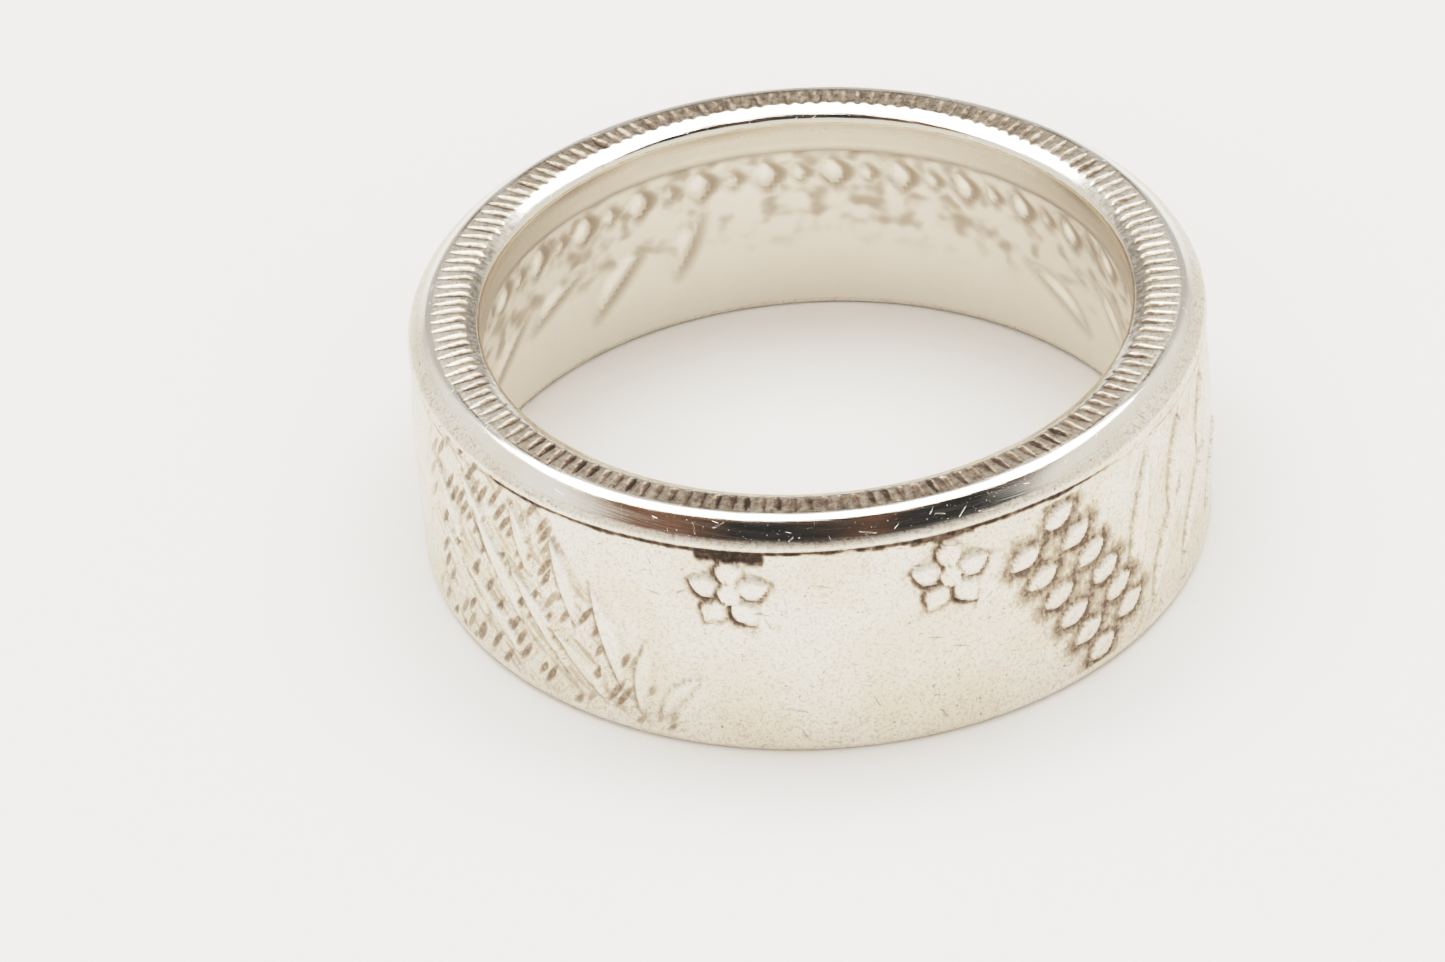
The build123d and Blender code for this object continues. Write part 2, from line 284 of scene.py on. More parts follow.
# Columns of the skin in each zone, and where the outer wall's columns lie closer
BEVEL_COLUMNS = 320
REED_COLUMNS = REED_COUNT * 8
RIM_COLUMNS = 440
WALL_COLUMNS = 800
FOOT_COLUMNS = 240
INSIDE_COLUMNS = 440
CLOSE_FROM, CLOSE_TO, CLOSE_SHARE = -158, -14, 1.5
CLOSE_STEPS, CLOSE_EASE = 7200, 90  # steps in a turn, and to how many each way the change is spread


def wrapped(degrees):
    """Angles brought into -180 to 180."""
    return (degrees + 180) % 360 - 180


def smooth(x):
    """0 below 0, 1 above 1 and an even S between."""
    x = np.clip(x, 0, 1)
    return x * x * (3 - 2 * x)


def bell(x):
    return np.exp(-x * x)


def even_angles(count):
    return -180 + 360 * np.arange(count) / count


def wall_angles():
    """Angles of the outer wall's columns, closer where the finest relief is."""
    fine = even_angles(CLOSE_STEPS)
    spread = 2 * CLOSE_EASE + 1
    weight = np.where((fine > CLOSE_FROM) & (fine < CLOSE_TO), CLOSE_SHARE, 1.0)
    weight = np.concatenate([weight[-CLOSE_EASE:], weight, weight[:CLOSE_EASE]])
    weight = np.convolve(weight, np.ones(spread) / spread, "valid")
    total = np.concatenate([[0], np.cumsum(weight)])
    return np.interp(np.arange(WALL_COLUMNS) / WALL_COLUMNS * total[-1], total, np.append(fine, 180))


def line(a, b, rows):
    """Points from a to just before b, with the outward normal of a profile that runs clockwise."""
    share = np.arange(rows)[:, None] / rows
    run = np.array(b) - np.array(a)
    normal = np.array([-run[1], run[0]]) / np.hypot(*run)
    return np.hstack([np.array(a) + run * share, np.tile(normal, (rows, 1))])


def arc(centre, radius, start, end, rows):
    """Points of an arc about a centre, its angles counted from outwards towards up."""
    a = np.radians(start + (end - start) * np.arange(rows) / rows)
    normal = np.stack([np.cos(a), np.sin(a)], 1)
    return np.hstack([np.array(centre) + radius * normal, normal])


def curve(stations, rows):
    """Points of one smooth curve through the stations, evenly spaced in height."""
    r, z = np.array(stations).T
    fit = np.polyfit(z, r, len(stations) - 1)
    heights = np.linspace(z[0], z[-1], rows, endpoint=False)
    slope = np.polyval(np.polyder(fit), heights)
    side = 1 if z[-1] < z[0] else -1
    normal = side * np.stack([np.ones(rows), -slope], 1) / np.hypot(1, slope)[:, None]
    return np.hstack([np.stack([np.polyval(fit, heights), heights], 1), normal])


def profile():
    """Zones of the profile, clockwise from the land's foot: name, column angles, rows of (r, z, normal)."""
    steep = 90 + BEVEL_RISE
    low_centre = (BORE_R + BEVEL_LOW_ROUND, LAND_TOP_Z)
    low_end = arc(low_centre, BEVEL_LOW_ROUND, steep, steep, 1)[0, :2]
    top_centre = (BEVEL_OUT_R, HEIGHT - BEVEL_TOP_ROUND)
    top_start = arc(top_centre, BEVEL_TOP_ROUND, steep, steep, 1)[0, :2]
    roll_centre = (FLAT_OUT_R, HEIGHT - ROLL)
    return [
        ("bevel", even_angles(BEVEL_COLUMNS), np.vstack([
            line(LAND_LOW, (BORE_R, LAND_TOP_Z), BEVEL_ROWS[0]),
            arc(low_centre, BEVEL_LOW_ROUND, 180, steep, BEVEL_ROWS[1]),
        ])),
        ("reeds", even_angles(REED_COLUMNS), np.vstack([
            line(low_end, top_start, REED_ROWS[0]),
            arc(top_centre, BEVEL_TOP_ROUND, steep, 90, REED_ROWS[1]),
            line((BEVEL_OUT_R, HEIGHT), (FLAT_OUT_R, HEIGHT), REED_ROWS[2]),
            arc(roll_centre, ROLL, 90, 90 - ROLL_PART, REED_ROWS[3]),
        ])),
        ("rim", even_angles(RIM_COLUMNS), np.vstack([
            arc(roll_centre, ROLL, 90 - ROLL_PART, 90 - math.degrees(ROLL_TURN), RIM_ROWS[0]),
            line(BAND_TOP, LIP_START, RIM_ROWS[1]),
            arc((LIP[0] - LIP_ROUND, LIP[1]), LIP_ROUND, 90 - RIM_BAND_SLOPE, 0, RIM_ROWS[2]),
        ])),
        ("wall", wall_angles(), np.vstack([
            line(LIP, WALL_TOP, WALL_ROWS[0]),
            curve([WALL_TOP, SHOULDER, BELLY, FOOT_OUT], WALL_ROWS[1]),
        ])),
        ("foot", even_angles(FOOT_COLUMNS), np.vstack([
            arc((FOOT_OUT[0] - FOOT_ROUND, FOOT_ROUND), FOOT_ROUND, 0, -90, FOOT_ROWS[0]),
            line((FOOT_OUT[0] - FOOT_ROUND, 0), (FOOT_IN[0] + FOOT_ROUND, 0), FOOT_ROWS[1]),
            arc((FOOT_IN[0] + FOOT_ROUND, FOOT_ROUND), FOOT_ROUND, -90, -180, FOOT_ROWS[2]),
        ])),
        ("inside", even_angles(INSIDE_COLUMNS), np.vstack([
            curve([FOOT_IN, WAIST, INNER_TOP], INSIDE_ROWS[0]),
            line(INNER_TOP, LAND_LOW, INSIDE_ROWS[1]),
        ])),
    ]


def swell(theta, z, waves):
    """Gentle hollows, never above the plain surface and the same at both ends of the turn."""
    total = np.zeros(theta.shape)
    for turns, rise, size, phase in waves:
        total += size * (np.cos(turns * np.radians(theta) + rise * z + phase) - 1) / 2
    return SWELL_DEEP * total / sum(wave[2] for wave in waves)


def wave_table():
    """Seeded waves as (turns round the ring, rise, size, phase)."""
    turns = rng.integers(2, SWELL_TURNS, SWELL_WAVES)
    rise = rng.uniform(-SWELL_RISE, SWELL_RISE, SWELL_WAVES)
    size = rng.uniform(*SWELL_SIZES, SWELL_WAVES)
    phase = rng.uniform(0, 2 * math.pi, SWELL_WAVES)
    return list(zip(turns, rise, size, phase))


def uneven(theta, count):
    """Seeded values between 0 and 1 at count places round the ring, with even slopes between them."""
    values = rng.uniform(0, 1, count)
    place = (theta + 180) / 360 * count
    first = np.floor(place).astype(int)
    share = place - first
    return values[first % count] * (1 - share) + values[(first + 1) % count] * share


def distance(theta, z, place, row, fullness):
    """Distance from a form's outline, negative inside, and how far across and along it each point lies."""
    (low, size), radius = place
    angle, up, lean, long, wide, bend = row
    turn = math.radians(lean)
    aside = np.radians(wrapped(theta - angle)) * radius
    rise = z - low - up * size
    across = aside * math.cos(turn) - rise * math.sin(turn)
    along = (aside * math.sin(turn) + rise * math.cos(turn)) / (long * size) + 0.5
    share = np.clip(along, 0, 1)
    offset = across - bend * size * 4 * share * (1 - share)
    half = wide * size / 2 * np.sin(np.pi * share) ** fullness
    beyond = np.abs(along - share) * long * size
    return np.where(beyond > 0, np.hypot(offset, beyond), np.abs(offset) - half), offset, share


def rosette(angle):
    """Rows of a rosette's petals, and of its bead."""
    degrees_a_share = math.degrees(WALL_FIELD[1] / BELLY[0])
    petals = []
    for i in range(PETAL_COUNT):
        lean = 360 / PETAL_COUNT * i
        t = math.radians(lean)
        petals.append((
            angle + PETAL_AT * math.sin(t) * degrees_a_share, ROSETTE_UP + PETAL_AT * math.cos(t),
            lean, PETAL_LONG, PETAL_WIDE, 0,
        ))
    return petals, (angle, ROSETTE_UP, 0, ROSETTE_BEAD, ROSETTE_BEAD, 0)


def outer_forms():
    """Forms of the outer wall as (row, fullness, vein, darkness round it, width of that patina)."""
    forms = [(row, LEAF_FULL, VEIN, *GRASS_DARK) for row in GRASS]
    for middle in TUFTS:
        forms += [((middle + aside, *rest), LEAF_FULL, VEIN, *TUFT_DARK) for aside, *rest in TUFT_LEAVES]
    for angle in ROSETTES:
        petals, bead = rosette(angle)
        forms += [(row, GRAIN_FULL, 0, *PETAL_DARK) for row in petals]
        forms.append((bead, BEAD_FULL, 0, *BEAD_DARK))
    for angle, up in GRAIN_ROWS:
        for i in range(GRAINS_A_ROW):
            row = (
                angle + GRAIN_STEP_ANGLE * i, up - GRAIN_STEP_DOWN * i,
                GRAIN_LEAN, GRAIN_LONG, GRAIN_WIDE, 0,
            )
            forms.append((row, GRAIN_FULL, VEIN, *GRAIN_DARK))
    return forms


def inner_forms():
    """Forms of the inner wall, told in the same way."""
    forms = [(row, LEAF_FULL, 0, *INNER_LEAF_DARK) for row in INNER_LEAVES]
    step = 360 / LOZENGE_COUNT
    lozenge = (LOZENGE_UP, 0, LOZENGE_LONG, LOZENGE_WIDE, 0)
    bead = (LOZENGE_UP, 0, INNER_BEAD, INNER_BEAD, 0)
    for i in range(LOZENGE_COUNT):
        forms.append(((step * i, *lozenge), GRAIN_FULL, 0, *LOZENGE_DARK))
        forms.append(((step * (i + 0.5), *bead), BEAD_FULL, 0, *INNER_BEAD_DARK))
    return forms


def relief(theta, z, place, height, edge, forms):
    """Height over the wall, and patina with painted shade on one side of each form, of every point of a
    wall's grid.
    """
    raised = np.zeros(theta.shape)
    nearest = np.full(theta.shape, NO_FORM_NEAR)
    dark = np.zeros(theta.shape)
    for row, fullness, vein, darkness, halo in forms:
        d, offset, share = distance(theta, z, place, row, fullness)
        cover = smooth(-d / edge)
        outside = np.maximum(d, 0)
        middle = vein * bell(offset / VEIN_WIDE) * np.sin(np.pi * share)
        parted = raised * (1 - OVERLAP_DIP * bell(outside / OVERLAP_WIDE))
        raised = np.maximum(parted, (height - middle) * cover)
        # painted shade: the patina is darker on the side of the form that lies towards SHADED_SIDE
        lean = math.radians(row[2])
        towards = math.cos(lean) * SHADED_SIDE[0] - math.sin(lean) * SHADED_SIDE[1]
        side = np.tanh(offset / (SIDE_TURN * edge)) * towards
        bare = 1 - smooth(-d / (CLEAN_FROM * edge))
        round_it = np.maximum(bell(outside / halo), GLOW * bell(outside / GLOW_WIDE))
        dark = np.maximum(dark * bare, darkness * (1 + SHADED_MORE * side) * round_it * bare)
        dark = np.maximum(dark, VEIN_DARK * darkness * middle * cover)
        nearest = np.minimum(nearest, d)
    raised -= MOAT * bell(np.maximum(nearest, 0) / MOAT_WIDE) * (1 - smooth(-nearest / edge))
    return raised, dark


def reeds(theta, r):
    """Depth of the notches and their patina, with painted shade, on the crown's grid."""
    pitch = 360 / REED_COUNT
    number = np.round((theta + 180) / pitch).astype(int) % REED_COUNT
    middle = (REED_IN_R + REED_OUT_R) / 2
    wide = rng.uniform(*REED_WIDTHS, REED_COUNT)
    deep = rng.uniform(*REED_DEPTHS, REED_COUNT)
    reach = rng.uniform(-REED_STRAYS, REED_STRAYS, REED_COUNT)
    shift = rng.uniform(-REED_STRAYS, REED_STRAYS, REED_COUNT) * pitch
    tarnish_and_shade = rng.uniform(*REED_STAINS, REED_COUNT)
    torn = int(round((WORN_REED_AT + 180) / pitch)) % REED_COUNT
    wide[torn] = deep[torn] = tarnish_and_shade[torn] = WORN_REED_WIDE
    skew = np.degrees(math.tan(math.radians(REED_SKEW)) * (r - middle) / middle)
    from_middle = wrapped(theta - (number * pitch - 180) - shift[number] - skew)
    inner = REED_IN_R - REED_MORE_IN * sides(theta)
    outer = REED_OUT_R + REED_MORE_OUT * sides(theta)
    share = np.clip((r - inner) / (outer - inner) + reach[number], 0, 1)
    round_end = np.sqrt(np.maximum(1 - (1 - share / REED_FULLEST) ** 2, 0))
    point = 1 - (np.maximum(share - REED_FULLEST, 0) / (1 - REED_FULLEST)) ** REED_TAPER
    half = pitch / 2 * REED_WIDE * wide[number] * np.where(share < REED_FULLEST, round_end, point)
    across = from_middle / np.maximum(half, 1e-6)
    sunk = np.where(half > REED_LEAST, smooth(REED_FLANK * (1 - np.abs(across))), 0)
    # painted shade: one flank darker than the other, and the notch darker at the front than at the back
    flank = (REED_DARK + REED_DARK_ASIDE * across) * (1 - REED_DARK_FRONT * np.sin(np.radians(theta)))
    dark = np.clip(tarnish_and_shade[number] * flank * smooth(sunk * REED_DARK_SPREAD), 0, 1)
    return REED_DEEP * deep[number] * sunk, dark


def sides(theta):
    """1 at the ring's left and right and 0 at its front and back."""
    return np.cos(np.radians(theta)) ** 4


def front_share(theta, middle, half, fade):
    """1 within an angle of the middle and 0 past the fade."""
    return smooth((half + fade - np.abs(wrapped(theta - middle))) / fade)


def under_lip(theta, z):
    """Patina and painted shade in the step under the lip, darkest at the front, and the depth of the
    stained hollows.
    """
    front = front_share(theta, *LIP_FRONT)
    ragged = sum(high * (uneven(theta, count) - 0.5) for high, count in RAGS_OF_EDGE)
    below = smooth((LIP[1] - LIP_CLEAR - z) / LIP_FADE)
    step = smooth((z + ragged - WALL_TOP[1] - STEP_FROM) / STAIN_FADE) * below
    creased = CREASE_LEAST + CREASE_MORE * uneven(theta, CREASE_PLACES)
    crease = bell((z - WALL_TOP[1] - ragged) / CREASE_WIDE) * creased
    filled = STEP_LEAST + STEP_MORE * uneven(theta, STEP_PLACES)
    # patina and painted shade in the step, darkest at the front, with a dark crease away from it
    dark = np.maximum(step * filled * front, CREASE_DARK * crease * (1 - front))
    sunk = np.zeros(theta.shape)
    for start, end, low, strength in STAINS:
        box = smooth((theta - start) / STAIN_SIDE) * smooth((end - theta) / STAIN_SIDE)
        box = box * smooth((z + ragged - low) / STAIN_FADE) * below
        dark = np.maximum(dark, STAIN_DARK * strength * box)
        sunk += STAIN_DEEP * strength * box * (z < WALL_TOP[1])
    return dark, sunk, front


def busy_share(theta, z):
    """Where fine lines and pits fill the ground between the outer wall's leaves."""
    edge = BUSY_EDGE_AT + (BUSY_EDGE_UP - z) * BUSY_EDGE_SLANT
    left = smooth((theta - BUSY_LEFT_FROM) / BUSY_LEFT_FADE) * smooth((edge - theta) / BUSY_EDGE_FADE)
    right = BUSY_RIGHT * smooth((theta - BUSY_RIGHT_FROM) / BUSY_RIGHT_FADE)
    right = right * smooth((BUSY_RIGHT_TO - theta) / BUSY_RIGHT_END)
    near_tufts = [bell(wrapped(theta - middle) / BUSY_TUFT_WIDE) for middle in TUFTS]
    back = BUSY_TUFTS * np.maximum.reduce(near_tufts) * smooth((BUSY_TUFT_TOP - z) / BUSY_TUFT_FADE)
    return np.maximum(np.maximum(left, right), back) * smooth((z - BUSY_FOOT) / BUSY_FOOT_FADE)


def shaped(name, theta, r, z, waves):
    """Height over the plain profile, patina with painted shade, polish and business of one zone's grid."""
    height = swell(theta, z + r, waves)
    dark = np.zeros(theta.shape)
    polish = np.ones(theta.shape)
    busy = np.zeros(theta.shape)
    aside = sides(theta)
    if name == "reeds":
        sunk, dark = reeds(theta, r)
        height = height - sunk
        past_bevel = r - BEVEL_OUT_R + FLAT_BEFORE + REED_MORE_IN * aside
        end = FLAT_OUT_R + REED_MORE_OUT * aside
        flat = smooth(past_bevel / FLAT_FADE_IN) * smooth((end - r) / FLAT_FADE_OUT)
        # patina on the flat and in the notches, paler at the ring's sides as a painted highlight
        flat_dark = (FLAT_DARK - FLAT_SIDE_PALER * aside) * flat
        dark = np.maximum(dark * (1 - REED_SIDE_PALER * aside), flat_dark)
        dark = np.maximum(dark, FLAT_LINE * bell((r - end - FLAT_LINE_AT) / FLAT_LINE_WIDE))
        # painted shade on the bevel's edge at the ring's sides
        dark = np.maximum(dark, BEVEL_SIDE_SHADE * aside * (r < BEVEL_OUT_R))
        polish = (1 - FLAT_MATT * flat) * (1 - NOTCH_MATT * smooth(sunk / NOTCH_MATT_DEEP))
    elif name == "bevel":
        creased = LAND_CREASE_LEAST + LAND_CREASE_MORE * uneven(theta, LAND_CREASE_PLACES)
        dark = LAND_CREASE * bell((z - LAND_TOP_Z + LAND_CREASE_DOWN) / LAND_CREASE_WIDE) * creased
        # painted shade on the bevel at the ring's sides
        dark = np.maximum(dark, BEVEL_SIDE_SHADE * aside)
        dark = np.maximum(dark, LAND_DARK * smooth((LAND_TOP_Z - z) / LAND_FADE))
        polish = np.where(z < LAND_TOP_Z, LAND_POLISH, 1.0)
    elif name == "rim":
        satin_from = SATIN_FRONT_MORE * front_share(theta, *SATIN_FRONT)
        polish = 1 - SATIN_MATT * smooth((r - SATIN_FROM_R - satin_from) / SATIN_FADE)
    elif name == "wall":
        raised, dark = relief(theta, z, (WALL_FIELD, BELLY[0]), RELIEF, RELIEF_EDGE, outer_forms())
        lip_dark, sunk, front = under_lip(theta, z)
        below_lip = smooth((WALL_TOP[1] - z) / RELIEF_END)
        filled = LIP_FILL * (1 - front) * smooth((z - LIP_FILL_FROM) / LIP_FILL_FADE)
        filled = filled * smooth((LIP[1] - z) / LIP_FILL_END)
        height = height * WALL_SWELL + raised * below_lip - sunk + filled - WALL_INSET
        dark = np.maximum(dark * below_lip, lip_dark)
        polish = WALL_POLISH + WALL_POLISH_RAISED * smooth(raised / RELIEF)
        busy = busy_share(theta, z) * (1 - smooth(raised / RELIEF * BUSY_CLEAR))
    elif name == "foot":
        polish = np.full(theta.shape, FOOT_POLISH)
    elif name == "inside":
        raised, dark = relief(theta, z, (INNER_FIELD, WAIST[0]), INNER_RELIEF, INNER_EDGE, inner_forms())
        height = height * WALL_SWELL + raised * smooth((INNER_TOP[1] - z) / RELIEF_END)
        polish = INNER_POLISH + INNER_POLISH_RAISED * smooth(raised / INNER_RELIEF)
        clear = INNER_BUSY_LESS * smooth(raised / INNER_RELIEF * INNER_BUSY_CLEAR)
        busy = smooth((z - INNER_BUSY_FROM) / INNER_BUSY_FADE) * (1 - clear)
    return height, dark, polish, busy


def sag(theta, r, z):
    """How far the lip and the metal near it hang below their plain place."""
    near = bell((z - LIP[1]) / SAG_HIGH) * smooth((r - SAG_FROM_R) / SAG_FADE)
    return sum(drop * bell(wrapped(theta - angle) / reach) for angle, reach, drop in LIP_DIPS) * near


def stitched(first, angles, other_first, other_angles):
    """Triangles that join two closed rows with different columns, both in order of angle."""
    count, other_count = len(angles), len(other_angles)
    ahead = np.append(angles, angles[0] + 360)
    other_ahead = np.append(other_angles, other_angles[0] + 360)
    i = j = 0
    triangles = []
    while i < count or j < other_count:
        if j >= other_count or (i < count and ahead[i + 1] <= other_ahead[j + 1]):
            triangles.append((first + i, other_first + j % other_count, first + (i + 1) % count))
            i += 1
        else:
            corner = other_first + (j + 1) % other_count
            triangles.append((first + i % count, other_first + j, corner))
            j += 1
    return triangles


def skin():
    """The ring's mesh, with its patina and painted shade, polish, business and inside as attributes, and a
    map in mm.
    """
    places, course, turn = [], [], []
    layers = {"patina_and_shade": [], "polish": [], "busy": [], "inside": []}
    quads, triangles, rows = [], [], []
    travelled = 0.0
    before = None
    first = 0
    for name, angles, points in profile():
        waves = wave_table()
        theta = np.tile(angles, (len(points), 1))
        r, z, nr, nz = (np.tile(points[:, k:k + 1], (1, len(angles))) for k in range(4))
        height, *values = shaped(name, theta, r, z, waves)
        a = np.radians(theta)
        out = r + nr * height
        up = z + nz * height - sag(theta, r, z)
        places.append(np.stack([out * np.cos(a), out * np.sin(a), up], -1).reshape(-1, 3))
        values.append(np.full(theta.shape, 1.0 if name in ("inside", "bevel") else 0.0))
        for title, value in zip(layers, values):
            layers[title].append(value.ravel())
        turn.append(theta.ravel())
        for i, point in enumerate(points):
            if before is not None:
                travelled += math.hypot(point[0] - before[0], point[1] - before[1])
            before = point
            course.append(np.full(len(angles), travelled))
            rows.append((first + i * len(angles), angles))
            if i:
                start = first + (i - 1) * len(angles)
                k = np.arange(len(angles))
                n = (k + 1) % len(angles)
                quads.append(np.stack([start + k, start + len(angles) + k,
                                       start + len(angles) + n, start + n], 1))
        first += theta.size
    for (a_first, a_angles), (b_first, b_angles) in zip(rows, rows[1:] + rows[:1]):
        if b_first != a_first + len(a_angles) or len(a_angles) != len(b_angles):
            triangles += stitched(a_first, a_angles, b_first, b_angles)
    mesh = bpy.data.meshes.new("ring_band_skin")
    mesh.from_pydata((np.concatenate(places) * MM).tolist(), [], np.concatenate(quads).tolist() + triangles)
    for title, values in layers.items():
        layer = mesh.attributes.new(title, "FLOAT", "POINT")
        layer.data.foreach_set("value", np.concatenate(values).astype(np.float32))
    mapped(mesh, np.concatenate(turn), np.concatenate(course), travelled)
    mesh.shade_smooth()
    return mesh


def mapped(mesh, turn, course, whole):
    """The map of the skin: millimetres round the ring and along its profile, unbroken in every face."""
    count = len(mesh.loops)
    corner = np.zeros(count, np.int32)
    mesh.loops.foreach_get("vertex_index", corner)
    start = np.zeros(len(mesh.polygons), np.int32)
    mesh.polygons.foreach_get("loop_start", start)
    size = np.diff(np.append(start, count))
    face = np.repeat(np.arange(len(size)), size)
    u, v = turn[corner], course[corner]
    u = u + 360 * ((np.maximum.reduceat(u, start)[face] - u) > 180)
    v = v + whole * ((np.maximum.reduceat(v, start)[face] - v) > whole / 2)
    layer = mesh.uv_layers.new(name="round_and_course")
    uv = np.stack([np.radians(u) * BELLY[0], v], 1)
    layer.data.foreach_set("uv", uv.astype(np.float32).ravel())


class Graph:
    """Shader nodes, added and joined one line at a time."""

    def __init__(self, owner):
        owner.use_nodes = True
        self.tree = owner.node_tree
        self.tree.nodes.clear()

    def add(self, kind, settings=None, **inputs):
        node = self.tree.nodes.new(kind)
        for key, value in (settings or {}).items():
            setattr(node, key, value)
        for key, value in inputs.items():
            by_number = key[0] == "_" and key[1:].isdigit()
            socket = node.inputs[int(key[1:]) if by_number else key.replace("_", " ")]
            if isinstance(value, bpy.types.NodeSocket):
                self.tree.links.new(value, socket)
            else:
                socket.default_value = value
        return node

    def math(self, operation, a, b=0.0):
        return self.add("ShaderNodeMath", {"operation": operation}, _0=a, _1=b).outputs[0]

    def times(self, a, b):
        return self.math("MULTIPLY", a, b)

    def between(self, value, low, high, to_low=0.0, to_high=1.0):
        """An even S from low to high, which need not be the smaller."""
        node = self.add("ShaderNodeMapRange", {"interpolation_type": "SMOOTHSTEP"}, Value=value)
        ends = {"From Min": low, "From Max": high, "To Min": to_low, "To Max": to_high}
        for title, number in ends.items():
            node.inputs[title].default_value = number
        return node.outputs[0]

    def mix(self, share, a, b):
        """Two colours mixed, each of them a socket or plain numbers."""
        node = self.add("ShaderNodeMix", {"data_type": "RGBA"}, _0=share)
        for socket, value in ((node.inputs[6], a), (node.inputs[7], b)):
            if isinstance(value, bpy.types.NodeSocket):
                self.tree.links.new(value, socket)
            else:
                socket.default_value = (*value, 1)
        return node.outputs[2]

    def noise(self, vector, scale, detail, roughness):
        node = self.add("ShaderNodeTexNoise", None, Vector=vector, Scale=scale, Detail=detail)
        node.inputs["Roughness"].default_value = roughness
        return node.outputs["Fac"]

    def attribute(self, name):
        return self.add("ShaderNodeAttribute", {"attribute_name": name}).outputs["Fac"]

    def stretched(self, vector, turn, along, across):
        """The vector turned, then scaled along and across the turn."""
        turned = self.add("ShaderNodeVectorRotate", {"rotation_type": "Z_AXIS"}, Vector=vector,
                          Angle=math.radians(-turn)).outputs[0]
        return self.add("ShaderNodeVectorMath", {"operation": "MULTIPLY"}, _0=turned,
                        _1=(along, across, 1)).outputs[0]

    def surface(self, shader, kind="ShaderNodeOutputMaterial"):
        self.tree.links.new(shader.outputs[0], self.add(kind).inputs["Surface"])


SILVER = (0.93, 0.895, 0.83)
WARM_SILVER = (0.90, 0.845, 0.75)
SATIN_SILVER = (0.80, 0.715, 0.60)
TAN = (0.50, 0.43, 0.345)
BROWN = (0.22, 0.165, 0.125)
DARK = (0.070, 0.050, 0.038)
PATINA_AND_SHADE_COLOURS = [(0.0, 0.42, TAN), (0.36, 0.74, BROWN), (0.74, 1.0, DARK)]  # from, to, colour

# Patterns in the metal: scale, detail and roughness
GRAIN = (9.0, 3.0, 0.65)
FINE = (28.0, 2.0, 0.6)
CLOUD = (0.45, 3.0, 0.55)
RAGS = (5.0, 4.0, 0.7)
SPOTS = (5.0, 2.0, 0.6)
SOFT_CLOUDS = (1.3, 1.0, 0.4)
STREAKS = (1.0, 2.0, 0.6)
BENDS = (1.0, 2.0, 0.55)
SCRATCH = (1.0, 1.0, 0.5)
BRUSHED = (1.0, 3.0, 0.6)
FLECKS = (1.0, 2.0, 0.6)

# How patterns run on the unrolled skin: turn, scale along it and scale across it
STREAKS_RUN = (0, 7.0, 1.2)
PIT_RUNS = [(-56, 0.62, 3.0), (40, 0.62, 3.0)]
BENDS_RUN = (-56, 0.35, 1.3)
SCRATCH_RUNS = [(12, 0.8, 9.0), (64, 1.0, 9.0), (-38, 1.2, 9.0)]
BRUSHED_RUN = (3, 0.5, 20.0)
FLECKS_RUN = (0, 11.0, 15.0)

# Where each pattern starts and is full
PIT_EDGE, PIT_CHANCE = (0.50, 0.20), (0.10, 0.60)
LINE_EDGE = (0.12, 0.02)
PATINA_EDGE = (0.02, 0.22)
SOFT_CLOUDS_EDGE = (0.36, 0.76)
SPECK_EDGE, SPECK_GRAIN = (0.60, 0.69), (0.50, 0.60)
MOTTLE_EDGE = (0.52, 0.34)
FRECKLE_EDGE = (0.50, 0.34)
WARM_EDGE = (0.35, 0.70)
SCRATCH_EDGE = (0.735, 0.755)
FLECK_EDGE = (0.70, 0.76)

# Strengths; those with four numbers go from the first two values of a pattern to the last two
SECOND_PITS = 0.5
LINES_A_BEND, HALF_LINE = 9.0, 0.5
TORN, STREAKED = 0.8, 0.35
PITS_DARK = (0.3, 0.6, 0.38, 0.60)
LINES_DARK = 0.20
SOFT_CLOUDS_DARK = 0.32
SPECKS = 0.7
WARM_INSIDE = 0.8
SATIN_TINT = (0.30, 0.75, 0.35, 0.75)
MOTTLE = 0.62
FRECKLE = 0.45
SCRATCHES = 0.5
SATIN_ROUGH = (0.3, 0.7, 0.36, 0.46)
WORN_ROUGH = 0.15
BRIGHT_ROUGH = (0.35, 0.7, 0.08, 0.20)
FINE_BUMP, BRUSHED_BUMP, FLECK_BUMP, SCRATCH_BUMP, PIT_BUMP = 0.6, 0.30, 1.2, 0.6, 3.0
BUMP_STRENGTH, BUMP_HIGH = 0.6, 0.013


